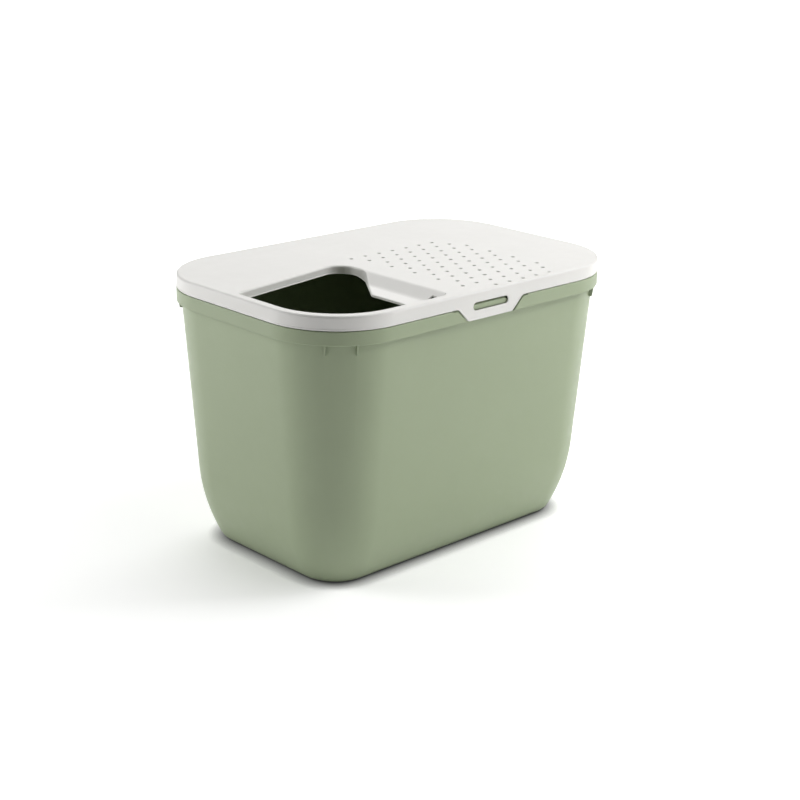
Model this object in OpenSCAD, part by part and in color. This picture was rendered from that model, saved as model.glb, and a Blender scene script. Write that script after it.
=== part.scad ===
// Top entry litter box: a deep tub and a lid that hinges at the back
// The lid has a large entry, a scoop shelf, a perforated litter deck and a front latch tab
// The origin is under the middle of the box on the floor, +X runs along it and -Y is the latch side

/* [Overall] */
// Length of the lid over its skirt
lid_length = 585; // [540:5:660]
// Width of the lid over its skirt
lid_width = 390; // [370:5:440]
// Height from the floor to the top of the lid
total_height = 395; // [320:5:450]
// Outer radius of the lid's corners in plan
corner_radius = 112; // [100:1:125]

/* [Lid] */
// Wall of the lid's top and skirt
lid_wall = 2.5; // [2:0.1:3.5]
// Height of the lid's skirt
skirt_height = 19.6; // [17:0.2:24]
// Rounding of the lid's upper edge
lid_edge_radius = 4; // [2.5:0.5:6]
// Gap between the skirt's lower edge and the tub's band
skirt_gap = 0.8; // [0.5:0.1:2]

/* [Entry] */
// Land between the entry and the edge of the lid
rim_land = 16; // [14:0.5:20]
// Length of the entry along the box
entry_length = 212; // [190:1:230]
// Reach of the entry from its front edge to its back edge, at the deck end
entry_reach = 221; // [205:1:235]
// How much less the entry reaches back at the outer end
entry_slant = 38; // [20:1:50]
// Depth of the collar round the entry
collar_depth = 12; // [9:0.5:15]
// Wall of the collar and of the shelf's lip
collar_wall = 2.4; // [2:0.1:3.5]
// Flat width of the scoop shelf
shelf_width = 29; // [24:1:36]
// Width of the ramp from the deck down to the shelf
ramp_width = 22; // [16:1:26]
// Reach of the scoop shelf from the entry's front edge
shelf_reach = 97; // [80:1:110]
// Height of the lip under the shelf's edge
lip_height = 7; // [4:0.5:10]
// Distance from the end of the shelf's slanted edge to the entry's back edge
neck_land = 55; // [48:1:70]
// Width of the scoop handle's hole in the ramp
scoop_hole_width = 12; // [9:0.5:14]
// Length of the scoop handle's hole in the ramp
scoop_hole_length = 9; // [7:0.5:12]
// Distance from the scoop handle's hole to the entry's front edge
scoop_hole_margin = 8; // [6:0.5:14]

/* [Deck] */
// Diameter of a litter hole
deck_hole = 5.6; // [4:0.1:7]
// Distance between neighbouring litter holes
deck_pitch = 27; // [25:0.5:28]
// Rows of litter holes
deck_rows = 11; // [7:1:11]
// Litter holes in a row
deck_columns = 7; // [4:1:8]
// Distance from the entry to the nearest litter hole's centre
deck_margin = 29.5; // [20:0.5:40]
// Distance from the lid's front edge to the first row's centre
deck_front = 11; // [9:0.5:20]

/* [Latch] */
// Width of the latch tab at its root
tab_root = 126; // [110:1:150]
// Width of the latch tab at its lower edge
tab_tip = 86; // [80:1:100]
// Radius where the skirt's lower edge turns down into the tab
tab_flare = 8; // [4:0.5:12]
// Radius of the tab's lower corners
tab_corner = 9; // [5:0.5:12]
// Width of the slot in the latch tab
slot_width = 68; // [56:1:72]
// Height of the slot in the latch tab
slot_height = 11; // [9:0.5:13]
// Height of the bending line above the skirt's lower edge
tab_bend = 8.6; // [7:0.1:10]
// Gap round the tab in the tub's band
tab_gap = 2.2; // [1.5:0.1:3]
// Gap between the back of the tab and the catch
catch_gap = 0.5; // [0.4:0.1:1]

/* [Tub] */
// Wall of the tub
tub_wall = 2.6; // [2.2:0.1:3.5]
// Height of the band round the tub's mouth
band_height = 19.1; // [16:0.1:24]
// Overhang of the band past the tub's wall
band_overhang = 7.1; // [6:0.1:9]
// Gap between the tub's upstand and the underside of the lid
seat_gap = 0.4; // [0.3:0.1:4]
// Draft of the straight wall in degrees
wall_draft = 4.3; // [2:0.1:5]
// Radius of the curve from the wall to the foot
belly_radius = 260; // [220:5:300]
// Height where the straight wall turns into the curve
belly_height = 110; // [90:5:120]
// Height of the tub's floor above the ground
floor_height = 4; // [3:0.5:8]
// Height of the arch in the foot at each end
arch_height = 3.4; // [2:0.2:3.6]
// Width of the arch in the foot at each end
arch_width = 104; // [60:2:130]
// Chamfer of the foot's outer edge
foot_chamfer = 2; // [0.5:0.5:3]
// Width of the ring that the tub stands on
foot_land = 3; // [2:0.5:5]
// Thickness of the stacking ribs under the band
rib_wall = 2.6; // [2:0.1:4]
// Height of the stacking ribs below the band
rib_drop = 14; // [10:0.5:20]
// Chamfer of the band's outer edges
band_chamfer = 0.8; // [0.4:0.1:1.2]

/* [Hinge] */
// Distance of each hinge from the middle
hinge_offset = 130; // [90:5:140]
// Width of each hinge knuckle
knuckle_width = 44; // [30:1:56]
// Depth of the hinge pin below the tub's shoulder
pin_drop = 9.2; // [8:0.1:11]
// Radius of the hinge pin
pin_radius = 2.75; // [2.2:0.05:3]
// Running clearance round the pin
pin_clearance = 0.06; // [0.02:0.01:0.1]
// Wall of the knuckle round the pin
knuckle_wall = 2.2; // [1.8:0.1:2.5]
// Free space beside a knuckle
knuckle_gap = 0.6; // [0.4:0.1:1.5]
// Thickness of the ears that hold the pin
ear_wall = 3; // [2:0.1:5]

/* [Hidden] */
$fn = 96;
eps = 0.01;
clearance = 0.3;
arc_steps = 6;
tub_colour = [0.62, 0.66, 0.57];
lid_colour = [0.93, 0.92, 0.90];

// Centres of the corner arcs, about which every wall is swept
path_x = lid_length / 2 - corner_radius;
path_y = lid_width / 2 - corner_radius;

// Heights
top_z = total_height;
deck_z = top_z - lid_wall;
skirt_z = top_z - skirt_height;
band_top = skirt_z - skirt_gap;
band_z = band_top - band_height;
upstand_z = deck_z - seat_gap;

// Radii from the corner centres
skirt_in = corner_radius - lid_wall;
wall_out = corner_radius - band_overhang;
wall_in = wall_out - tub_wall;
wall_lean = tan(wall_draft);

// Curve of the tub's wall below belly_height, and the ring of the foot
belly_top_r = wall_out - (band_z - belly_height) * wall_lean;
belly_centre_r = belly_top_r - belly_radius * cos(wall_draft);
belly_centre_z = belly_height + belly_radius * sin(wall_draft);
belly_steps = 10;
foot_out = belly(0, foot_chamfer)[0][0] - foot_chamfer;
foot_in = foot_out - foot_land;
arch_slope = 7;

// Hinge: the pin lies just clear of the wall, so that the knuckle turns round it
knuckle_r = pin_radius + pin_clearance + knuckle_wall;
hinge_y = path_y + wall_out + clearance + knuckle_r;
hinge_z = band_top - pin_drop;
hinge_out = hinge_y + knuckle_r - lid_width / 2;
notch_half = knuckle_width / 2 + knuckle_gap;
mouth_angle = 100;

// The whole box is centred over the origin, hinge included
mid_y = -hinge_out / 2;

// Entry corners, anticlockwise from the one at the deck's front, and their radii
entry_x0 = -lid_length / 2 + rim_land;
entry_x1 = entry_x0 + entry_length;
entry_y0 = -lid_width / 2 + rim_land;
entry_y1 = entry_y0 + entry_reach;
ramp_corner = 12;
inner_corner = 28;
outer_corner = 10;
entry = [[entry_x1, entry_y0], [entry_x1, entry_y1], [entry_x0, entry_y1 - entry_slant],
    [entry_x0, entry_y0]];
entry_radii = [ramp_corner, inner_corner, outer_corner, corner_radius - rim_land];

// Scoop shelf, which takes a corner out of the entry
collar_z = top_z - collar_depth;
lip_z = collar_z - lip_height;
ramp_x = entry_x1 - ramp_width;
shelf_x = ramp_x - shelf_width;
shelf_y = entry_y0 + shelf_reach;
neck_y = entry_y1 - neck_land;
neck_radius = 34;
shelf_corner = 16;
front_corner = 0.5;
opening = [[shelf_x, entry_y0], [shelf_x, shelf_y], [entry_x1, neck_y], [entry_x1, entry_y1],
    [entry_x0, entry_y1 - entry_slant], [entry_x0, entry_y0]];
opening_radii = [front_corner, shelf_corner, neck_radius, inner_corner, outer_corner,
    corner_radius - rim_land];

// Litter holes: rows at an equal pitch, each moved half a pitch from the last
row_pitch = deck_pitch * sin(60);
deck_y = -lid_width / 2 + deck_front;
deck_x = entry_x1 + deck_margin + deck_columns * deck_pitch;

// Latch tab, seen from the front, and the catch in its slot
front_y = -lid_width / 2;
bend_z = skirt_z + tab_bend;
tab_half = tab_root / 2 + tab_flare;
tab = [[-tab_half, bend_z], [-tab_half, skirt_z], [-tab_root / 2, skirt_z], [-tab_tip / 2, band_z],
    [tab_tip / 2, band_z], [tab_root / 2, skirt_z], [tab_half, skirt_z], [tab_half, bend_z]];
tab_radii = [0, 0, tab_flare, tab_corner, tab_corner, tab_flare, 0, 0];
bar_above_slot = 4.4;
slot_z = bend_z - bar_above_slot - slot_height / 2;
catch_y = front_y + lid_wall + catch_gap;
catch_side_gap = 2.5;
catch_low_gap = 0.8;
catch_top_gap = 2.2;
catch_half = slot_width / 2 - catch_side_gap;
catch_low = slot_z - slot_height / 2 + catch_low_gap;
catch_high = slot_z + slot_height / 2 - catch_top_gap;
catch_slope = 2;
notch_play = 0.2;

// Angles of the two stacking ribs in each corner, from the end of the box, and their reach past the wall
rib_angles = [41, 63.5];
rib_reach = 2.2;

// Unit vector from one point to another
function toward(a, b) = (b - a) / norm(b - a);

// Points of the arc that rounds the corner b between its neighbours a and c
function corner_arc(a, b, c, r, steps) = r == 0 ? [b] :
    let (u = toward(b, a), v = toward(b, c),
        half = acos(max(-1, min(1, u * v))) / 2,
        centre = b + toward([0, 0], u + v) * r / sin(half),
        start = b + u * r / tan(half) - centre,
        turn = (u[0] * v[1] - u[1] * v[0] < 0 ? 1 : -1) * (180 - 2 * half))
    [for (i = [0:steps]) let (t = turn * i / steps)
        centre + [start[0] * cos(t) - start[1] * sin(t), start[0] * sin(t) + start[1] * cos(t)]];

// Outline through the points, each rounded by its own radius
function rounded(points, radii, steps = 10) =
    let (n = len(points))
    [for (i = [0:n - 1])
        each corner_arc(points[(i + n - 1) % n], points[i], points[(i + 1) % n], radii[i], steps)];

// The points moved outwards by d, for a list that runs anticlockwise
function grown(points, d) =
    let (n = len(points))
    [for (i = [0:n - 1])
        let (u = toward(points[(i + n - 1) % n], points[i]), v = toward(points[i], points[(i + 1) % n]),
            nu = [u[1], -u[0]], nv = [v[1], -v[0]])
        points[i] + (nu + nv) * d / (1 + nu * nv)];

// Radii that keep a grown outline at an equal distance: outer corners gain, inner corners lose
function grown_radii(points, radii, d) =
    let (n = len(points))
    [for (i = [0:n - 1])
        let (u = toward(points[(i + n - 1) % n], points[i]), v = toward(points[i], points[(i + 1) % n]))
        radii[i] == 0 ? 0 : max(front_corner, radii[i] + (u[0] * v[1] - u[1] * v[0] > 0 ? d : -d))];

// Points of the tub's outer wall, drawn in by the inset, from from_z up to belly_height
function belly(inset, from_z) =
    let (r = belly_radius - inset, low = asin((belly_centre_z - from_z) / r))
    [for (i = [0:belly_steps]) let (a = low + (wall_draft - low) * i / belly_steps)
        [belly_centre_r + r * cos(a), belly_centre_z - r * sin(a)]];

// Rounded rectangle of the box's plan, r out from the corner centres
module plan(r) {
    square([2 * path_x, 2 * (path_y + r)], center = true);
    square([2 * (path_x + r), 2 * path_y], center = true);
    for (x = [-path_x, path_x], y = [-path_y, path_y])
        translate([x, y]) circle(r);
}

// Sweeps a wall section, drawn as radius and height, round the box
module around() {
    for (end = [0, 180]) rotate(end) {
        translate([path_x, path_y, 0]) rotate_extrude(angle = 90) children();
        translate([path_x, -path_y, 0]) rotate(-90) rotate_extrude(angle = 90) children();
        translate([path_x, path_y, 0]) rotate([90, 0, 0]) linear_extrude(2 * path_y) children();
        rotate(90) translate([path_y, path_x, 0]) rotate([90, 0, 0]) linear_extrude(2 * path_x) children();
    }
}

// Ring of wall thickness round an outline
module outline_ring(points, radii, wall) {
    difference() {
        polygon(rounded(grown(points, wall), grown_radii(points, radii, wall)));
        polygon(rounded(points, radii));
    }
}

// Section of the tub: foot, belly, drafted wall, upstand, shoulder and band
module tub_section() {
    edge = 0.6;
    blend = 2;
    band_in = corner_radius - tub_wall;
    polygon(concat(
        [[foot_in, 0], [foot_out, 0]],
        belly(0, foot_chamfer),
        [[wall_out - wall_lean * blend, band_z - blend], [wall_out, band_z], [wall_out, band_top - tub_wall]],
        [[band_in, band_top - tub_wall], [band_in, band_z], [corner_radius - band_chamfer, band_z]],
        [[corner_radius, band_z + band_chamfer], [corner_radius, band_top - band_chamfer]],
        [[corner_radius - band_chamfer, band_top], [wall_out, band_top], [wall_out, upstand_z - edge]],
        [[wall_out - edge, upstand_z], [wall_in + edge, upstand_z], [wall_in, upstand_z - edge]],
        [[wall_in, band_z], [wall_in - wall_lean * blend, band_z - blend]],
        [for (i = [belly_steps:-1:0]) belly(tub_wall, floor_height)[i]],
        [[foot_in, floor_height]]));
}

// One stacking rib between the wall and the band's lower edge
module stacking_rib() {
    rib_top = band_top - tub_wall / 2;
    rib_low = band_z - rib_drop;
    inner_low = wall_in + 1 - rib_drop * wall_lean;
    rib_out = corner_radius - tub_wall / 2;
    rotate([90, 0, 0]) linear_extrude(rib_wall, center = true)
        polygon([[inner_low, rib_low], [inner_low + rib_drop * wall_lean, band_z], [wall_in + 1, rib_top],
            [rib_out, rib_top], [rib_out, band_z], [wall_out + rib_reach, rib_low]]);
}

// Two ribs in each corner, mirrored about both middles
module stacking_ribs() {
    for (sx = [-1, 1], sy = [-1, 1], a = rib_angles)
        translate([sx * path_x, sy * path_y, 0])
            rotate(atan2(sy * sin(a), sx * cos(a)))
                stacking_rib();
}

// Room in the tub's band for the latch tab
module tab_notch() {
    depth = lid_wall + catch_gap + notch_play;
    translate([0, front_y + depth, 0]) rotate([90, 0, 0]) linear_extrude(depth + 1)
        polygon(rounded(grown(tab, tab_gap), grown_radii(tab, tab_radii, tab_gap)));
}

// Catch behind the slot in the latch tab, with a sloped top for the tab to ride over
module latch_catch() {
    root_y = -(path_y + wall_out - 1);
    translate([-catch_half, 0, 0]) rotate([90, 0, 90]) linear_extrude(2 * catch_half)
        polygon([[root_y, catch_low], [catch_y, catch_low], [catch_y, catch_high - catch_slope],
            [catch_y + catch_slope, catch_high], [root_y, catch_high]]);
}

// Room in the band for one knuckle
module knuckle_notch() {
    translate([-notch_half, path_y + wall_out, band_z - 1])
        cube([2 * notch_half, band_overhang + 2, band_height + 3]);
}

// Pin between two ears, which stop just inside the band's outer face
module hinge_pin() {
    translate([-notch_half - ear_wall, hinge_y, hinge_z]) rotate([0, 90, 0])
        cylinder(h = 2 * (notch_half + ear_wall), r = pin_radius);
    for (x = [-notch_half - ear_wall, notch_half])
        translate([x, path_y + wall_out - 1, band_z])
            cube([ear_wall, band_overhang + 1 - 2 * eps, band_height - band_chamfer]);
}

// Shallow arch through the foot at one end
module foot_arch() {
    reach = lid_length / 2 - path_x;
    half = arch_width / 2;
    translate([-reach, 0, 0]) rotate([90, 0, 90]) linear_extrude(2 * reach)
        polygon([[-half, -1], [half, -1], [half, 0], [half - arch_slope, arch_height],
            [-half + arch_slope, arch_height], [-half, 0]]);
}

// Tub with its foot, belly, band, stacking ribs, catch and hinge pins
module tub() {
    color(tub_colour) translate([0, mid_y, 0]) {
        difference() {
            union() {
                around() tub_section();
                translate([0, 0, floor_height]) linear_extrude(tub_wall)
                    plan(belly(tub_wall, floor_height)[0][0] + 1);
                stacking_ribs();
            }
            tab_notch();
            for (x = [-hinge_offset, hinge_offset]) translate([x, 0, 0]) knuckle_notch();
            for (x = [-lid_length / 2, lid_length / 2]) translate([x, 0, 0]) foot_arch();
        }
        latch_catch();
        for (x = [-hinge_offset, hinge_offset]) translate([x, 0, 0]) hinge_pin();
    }
}

// Section of the lid's edge: rounded top edge, skirt and the fillet inside
module lid_section() {
    edge = 0.6;
    fillet = 1.5;
    land = 6;
    centre = [corner_radius - lid_edge_radius, top_z - lid_edge_radius];
    polygon(concat(
        [[skirt_in, skirt_z + edge], [skirt_in + edge, skirt_z], [corner_radius - edge, skirt_z]],
        [[corner_radius, skirt_z + edge]],
        [for (i = [0:arc_steps]) let (a = 90 * i / arc_steps) centre + lid_edge_radius * [cos(a), sin(a)]],
        [[skirt_in - land, top_z], [skirt_in - land, deck_z], [skirt_in - fillet, deck_z]],
        [[skirt_in, deck_z - fillet]]));
}

// Everything under the ramp's and shelf's upper face, lowered by drop, down to bottom_z
module under_ramp(drop, bottom_z) {
    past = shelf_x - 2 * collar_wall;
    back_x = entry_x1 + collar_wall / 2;
    back_y = neck_y + neck_radius / 2;
    front_y = entry_y0 - collar_wall / 2;
    translate([0, back_y, -drop]) rotate([90, 0, 0]) linear_extrude(back_y - front_y)
        polygon([[past, bottom_z], [past, collar_z], [ramp_x, collar_z], [entry_x1, top_z],
            [back_x, top_z], [back_x, bottom_z]]);
}

// Scoop shelf with its ramp and the lip along its edge, rooted in the collar's wall
module scoop_shelf() {
    root = collar_wall / 2;
    intersection() {
        difference() {
            under_ramp(0, lip_z);
            linear_extrude(top_z + 1) polygon(rounded(opening, opening_radii));
            difference() {
                under_ramp(lid_wall, lip_z - 1);
                linear_extrude(top_z + 1) outline_ring(opening, opening_radii, collar_wall);
            }
        }
        linear_extrude(top_z + 1) polygon(rounded(grown(entry, root), grown_radii(entry, entry_radii, root)));
    }
}

// Hole low on the ramp, near its front, where a scoop's handle hangs
module scoop_hole() {
    ramp_share = 0.3;
    hole_x = ramp_x + ramp_width * ramp_share;
    translate([hole_x - scoop_hole_width / 2, entry_y0 + scoop_hole_margin, lip_z - 1])
        cube([scoop_hole_width, scoop_hole_length, top_z - lip_z]);
}

// Litter holes: the front and back rows lie nearest the entry, and the front one is two holes short
module litter_holes() {
    for (j = [0:deck_rows - 1]) {
        edge_row = j == 0 || j == deck_rows - 1;
        move = edge_row ? 1 : (j % 2 == 1 ? 0.5 : 0);
        count = j == 0 ? deck_columns - 2 : deck_columns;
        for (i = [0:count - 1])
            translate([deck_x - (move + i) * deck_pitch, deck_y + j * row_pitch, deck_z - 1])
                cylinder(h = lid_wall + 2, d = deck_hole, $fn = 24);
    }
}

// One knuckle: an arm from the skirt and a ring that is open towards the tub's wall
module knuckle() {
    translate([-knuckle_width / 2, 0, 0]) {
        difference() {
            union() {
                translate([0, hinge_y, hinge_z]) rotate([0, 90, 0])
                    cylinder(h = knuckle_width, r = knuckle_r);
                translate([0, path_y + skirt_in, hinge_z])
                    cube([knuckle_width, lid_wall, skirt_z + 1 - hinge_z]);
            }
            translate([-1, hinge_y, hinge_z]) rotate([0, 90, 0])
                cylinder(h = knuckle_width + 2, r = pin_radius + pin_clearance);
            translate([-1, hinge_y, hinge_z]) rotate([90, 0, 90]) linear_extrude(knuckle_width + 2)
                polygon([[0, 0], for (i = [0:4]) let (a = 180 + mouth_angle * i / 4)
                    3 * knuckle_r * [cos(a), sin(a)]]);
        }
    }
}

// Face of the latch tab with its slot, in the front view
module tab_face() {
    straight = slot_width - slot_height;
    difference() {
        polygon(rounded(tab, tab_radii));
        translate([-straight / 2, slot_z - slot_height / 2]) square([straight, slot_height]);
        for (x = [-straight / 2, straight / 2]) translate([x, slot_z]) circle(d = slot_height);
    }
}

// Lid with its entry, shelf, litter deck, skirt and hinge knuckles
module lid() {
    color(lid_colour) translate([0, mid_y, 0]) {
        difference() {
            union() {
                around() lid_section();
                difference() {
                    translate([0, 0, deck_z]) linear_extrude(lid_wall) plan(skirt_in - 5);
                    linear_extrude(top_z + 1) polygon(rounded(entry, entry_radii));
                }
                translate([0, 0, collar_z]) linear_extrude(collar_depth)
                    outline_ring(entry, entry_radii, collar_wall);
                scoop_shelf();
                for (x = [-hinge_offset, hinge_offset]) translate([x, 0, 0]) knuckle();
            }
            litter_holes();
            scoop_hole();
            translate([-tab_half, front_y - 1, skirt_z - 1])
                cube([2 * tab_half, lid_wall + 1 + eps, tab_bend + 1]);
        }
    }
}

// Latch tab, which bends out at its upper edge
module latch_tab() {
    color(lid_colour) translate([0, mid_y, 0])
        translate([0, front_y + lid_wall, 0]) rotate([90, 0, 0]) linear_extrude(lid_wall) tab_face();
}

tub();
lid();
latch_tab();
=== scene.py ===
"""Top entry litter box: the visual model, built round the packed CAD frame"""

import math
from types import SimpleNamespace

import bmesh
import bpy
from mathutils import Matrix, Vector, geometry


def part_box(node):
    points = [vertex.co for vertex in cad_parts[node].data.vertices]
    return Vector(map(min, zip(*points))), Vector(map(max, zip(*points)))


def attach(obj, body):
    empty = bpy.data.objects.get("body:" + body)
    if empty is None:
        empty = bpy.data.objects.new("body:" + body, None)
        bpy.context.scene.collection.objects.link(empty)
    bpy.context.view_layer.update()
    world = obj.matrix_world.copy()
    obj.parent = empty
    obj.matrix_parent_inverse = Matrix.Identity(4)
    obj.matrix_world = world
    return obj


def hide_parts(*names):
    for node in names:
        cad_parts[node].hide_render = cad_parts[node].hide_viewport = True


bl_info = {
    "name": "Top Entry Litter Box",
    "version": (1, 0, 0),
    "blender": (4, 5, 0),
    "location": "View3D > Sidebar > Litter Box",
    "description": "Builds a top entry litter box: tub, lid, latch tab and stage",
    "category": "Object",
}

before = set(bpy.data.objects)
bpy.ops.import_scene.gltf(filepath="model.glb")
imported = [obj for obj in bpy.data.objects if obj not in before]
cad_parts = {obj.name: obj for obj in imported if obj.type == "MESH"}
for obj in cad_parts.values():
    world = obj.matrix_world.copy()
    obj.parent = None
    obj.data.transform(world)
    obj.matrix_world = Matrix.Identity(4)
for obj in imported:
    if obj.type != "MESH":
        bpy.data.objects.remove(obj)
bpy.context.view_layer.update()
LID_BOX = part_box("lid")

# Points closer than this are one point
MERGE = 2e-6
# Steps in a corner of the plan, in a fillet, in the plate's wall, in a corner of the entry or of the tab, and
# round the ramp's corner or an end of the slot
ARC_STEPS, FILLET_STEPS, WALL_STEPS, CORNER_STEPS, ROUND_STEPS = 24, 6, 5, 12, 16
PIN_SIDES, HOLE_SIDES = 32, 24
# Distance between stations round the plan, and the smallest radius that an outline keeps as it grows
PLAN_SPACING, LEAST_RADIUS = 0.03, 0.0005
# An edge that turns by more than this is bevelled and shaded as an edge
SHARP_ANGLE = math.radians(30)
# How far a solid reaches into its neighbour before they are joined, and how far a cutter reaches past its cut
OVERLAP = 0.001
PAST = 0.01
# Roundings of the tub's edges, in metres
FOOT_EDGE, POCKET_EDGE, LOW_BAND_EDGE, BAND_EDGE = 0.0006, 0.001, 0.0006, 0.0011
SHOULDER, MOUTH_EDGE, FLOOR_FILLET = 0.0012, 0.0009, 0.009
# Distance from the foot ring to the flat round the middle of the tub's floor
FLOOR_INSET = 0.03
# How far a stacking rib stands out from the wall at its lower end
RIB_REACH = 0.0034
# Share of an ear's thickness that the pin reaches into
PIN_GRIP = 0.6
# Room between the catch and the slot: below, above and at each end
CATCH_ROOM = (0.0008, 0.0022, 0.0025)
# Room between an ear and the band: outside, below and above
EAR_ROOM = (0.0001, 0.0002, 0.0006)
# How much deeper the tab's notch is than the catch's face, and how much deeper the tab's room than the skirt
NOTCH_EXTRA, ROOM_EXTRA = 0.0002, 0.0001
# Bevels of the catch, the ears and the knuckles
CATCH_BEVEL, EAR_BEVEL, KNUCKLE_BEVEL = 0.0004, 0.0005, 0.0003
# Fillets where the entry's front wall meets the shelf, seen from above and from below, and the wall's draft
SHELF_FILLET, UNDER_FILLET, COLLAR_FILLET, WALL_DRAFT = 0.0015, 0.003, 0.0016, 0.0003
# The plate's height fades over this angle round the ramp's corner, and its rim leans no more than this
FADE_ANGLE = math.radians(30)
# The shelf's small corner, and the distance between stations round the entry
SHELF_CORNER, ENTRY_SPACING = 0.002, 0.002
# Where the shelf's lip fades out along the front and along the neck: start before the corner, and length
FRONT_FADE, NECK_FADE = (0.016, 0.013), (0.004, 0.026)
# Corner radius of the scoop hole, and its place on the ramp as a share of the ramp's width
HOLE_CORNER, HOLE_SHARE = 0.0015, 0.3
# Distance between stations round the tab
TAB_SPACING = 0.01
# Length of the cutter for a litter hole
HOLE_DEPTH = 0.012
# Beads in section: out from the wall and up from the lower edge, in millimetres
RIM_BEAD = [(0, 2.1), (-0.2, 1.7), (-0.5, 1.2), (-0.6, 0.8), (-0.45, 0.3), (0, 0)]
# Noise in the plastic, as scale and detail
FLOW, SPECKS, GLOSS, GRAIN, WAVES = (9, 3), (420, 2), (60, 3), (1500, 2), (55, 1)
# Part of the noise that is used, and the darkest and lightest shade and the roughness that it leads to
NOISE_RANGE, SHADES, ROUGHNESS_SPREAD = (0.3, 0.7), (0.975, 1.02), (0.04, 0.05)
# Refraction and gloss of the plastics, and roughness and gloss of the floor's paper
PLASTIC_IOR, PLASTIC_GLOSS = 1.49, 0.45
PAPER_ROUGHNESS, PAPER_GLOSS = 0.9, 0.1
# Share of the specks in the drift of colour, and depth of the grain and of the waves
SPECK_SHARE = 0.35
GRAIN_DEPTH, WAVE_DEPTH = 0.0002, 0.0006
# Softboxes: azimuth and elevation in degrees, then distance, width and height in metres
SOFTBOXES = {
    "left": (-135, 22, 2.4, 1.0, 1.6),
    "right": (45, 22, 2.4, 1.0, 1.6),
    "key": (60, 42, 2.6, 1.2, 1.2),
    "fill": (10, 50, 2.6, 1.2, 1.2),
}
LIGHT_AIM = Vector((0, 0, 0.2))
# Lights over the floor behind the box: side, distance and height in metres
FLOOR_LIGHTS = {"back": (8.5, 5.5, 3.5), "far": (17, 13, 6)}


def length(name, description, millimetres):
    """A size in metres, given here in millimetres"""
    return bpy.props.FloatProperty(
        name=name, description=description, default=millimetres / 1000, min=0.0, unit="LENGTH", precision=4
    )


def angle(name, description, degrees):
    """An angle, given here in degrees"""
    return bpy.props.FloatProperty(
        name=name, description=description, default=math.radians(degrees), subtype="ANGLE", unit="ROTATION"
    )


def number(name, description, value):
    """A number without a unit"""
    return bpy.props.FloatProperty(name=name, description=description, default=value, min=0.0)


def colour(name, description, value):
    """A colour in linear light"""
    return bpy.props.FloatVectorProperty(
        name=name, description=description, default=value, size=3, subtype="COLOR", min=0.0, max=1.0
    )


class LITTERBOX_PG_lid(bpy.types.PropertyGroup):
    """Sizes of the lid's plate and skirt"""

    long_side: length("Length", "Length of the lid over its skirt", 1000 * (LID_BOX[1].x - LID_BOX[0].x))
    short_side: length("Width", "Width of the lid over its skirt", 390)
    top: length("Height", "Height of the lid's upper face above the floor", 1000 * LID_BOX[1].z)
    corner_radius: length("Corner radius", "Outer radius of the corners in plan", 112)
    wall: length("Wall", "Thickness of the plate and of the skirt", 2.5)
    skirt_height: length("Skirt height", "Height of the skirt", 19.6)
    edge_radius: length("Edge radius", "Rounding of the upper edge", 3.5)
    bead_height: length("Bead height", "Height of the bead along the skirt's lower edge", 3)
    bead_depth: length("Bead depth", "How far the bead stands out from the skirt", 0.5)
    fillet: length("Fillet", "Fillet under the plate", 1.5)


class LITTERBOX_PG_entry(bpy.types.PropertyGroup):
    """Sizes of the entry, its collar and the scoop shelf"""

    rim_land: length("Rim land", "Land between the entry and the lid's edge", 16)
    along: length("Length", "Length of the entry along the box", 212)
    reach: length("Reach", "Reach of the entry at the deck end", 221)
    slant: length("Slant", "How much less the entry reaches at the outer end", 38)
    collar_depth: length("Collar depth", "Depth of the collar round the entry", 12)
    collar_wall: length("Collar wall", "Thickness of the collar", 2.4)
    rim_radius: length("Rim radius", "Rounding of the entry's rim", 3)
    shelf_width: length("Shelf width", "Flat width of the scoop shelf", 29)
    ramp_width: length("Ramp width", "Width of the ramp down to the shelf", 22)
    shelf_reach: length("Shelf reach", "Reach of the shelf from the front", 97)
    lip_height: length("Lip height", "Height of the shelf's edge below its flat", 3.4)
    lip_squeeze: number("Lip squeeze", "Height of rounding and bead along the shelf, against the rim's", 0.35)
    neck_land: length("Neck land", "Distance from the shelf's slanted edge to the back of the entry", 55)
    neck_radius: length("Neck radius", "Radius of the shelf's edge where it meets the deck", 34)
    shelf_radius: length("Shelf radius", "Radius of the shelf's free corner", 16)
    inner_radius: length("Inner radius", "Radius of the entry's back corner at the deck end", 28)
    outer_radius: length("Outer radius", "Radius of the entry's back corner at the outer end", 10)
    ramp_radius: length("Ramp radius", "Radius of the corner between the ramp and the front", 12)
    crest: length("Crest", "Half the width over which the ramp's crest is rounded", 3)
    foot: length("Foot", "Half the width over which the ramp's foot is rounded", 4)
    hole_width: length("Scoop hole width", "Width of the scoop handle's hole", 12)
    hole_length: length("Scoop hole length", "Length of the scoop handle's hole", 9)
    hole_margin: length("Scoop hole margin", "Distance from the scoop hole to the entry's front edge", 14)


class LITTERBOX_PG_deck(bpy.types.PropertyGroup):
    """Sizes of the litter deck's holes"""

    hole: length("Hole", "Diameter of a litter hole", 5.6)
    chamfer: length("Chamfer", "Chamfer round each hole", 0.9)
    pitch: length("Pitch", "Distance between neighbouring holes", 27)
    margin: length("Margin", "Distance from the entry to the nearest hole's centre", 29.5)
    front: length("Front", "Distance from the lid's front edge to the first row", 11)
    rows: bpy.props.IntProperty(name="Rows", description="Rows of litter holes", default=11, min=1)
    columns: bpy.props.IntProperty(name="Columns", description="Litter holes in a row", default=7, min=3)


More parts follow.
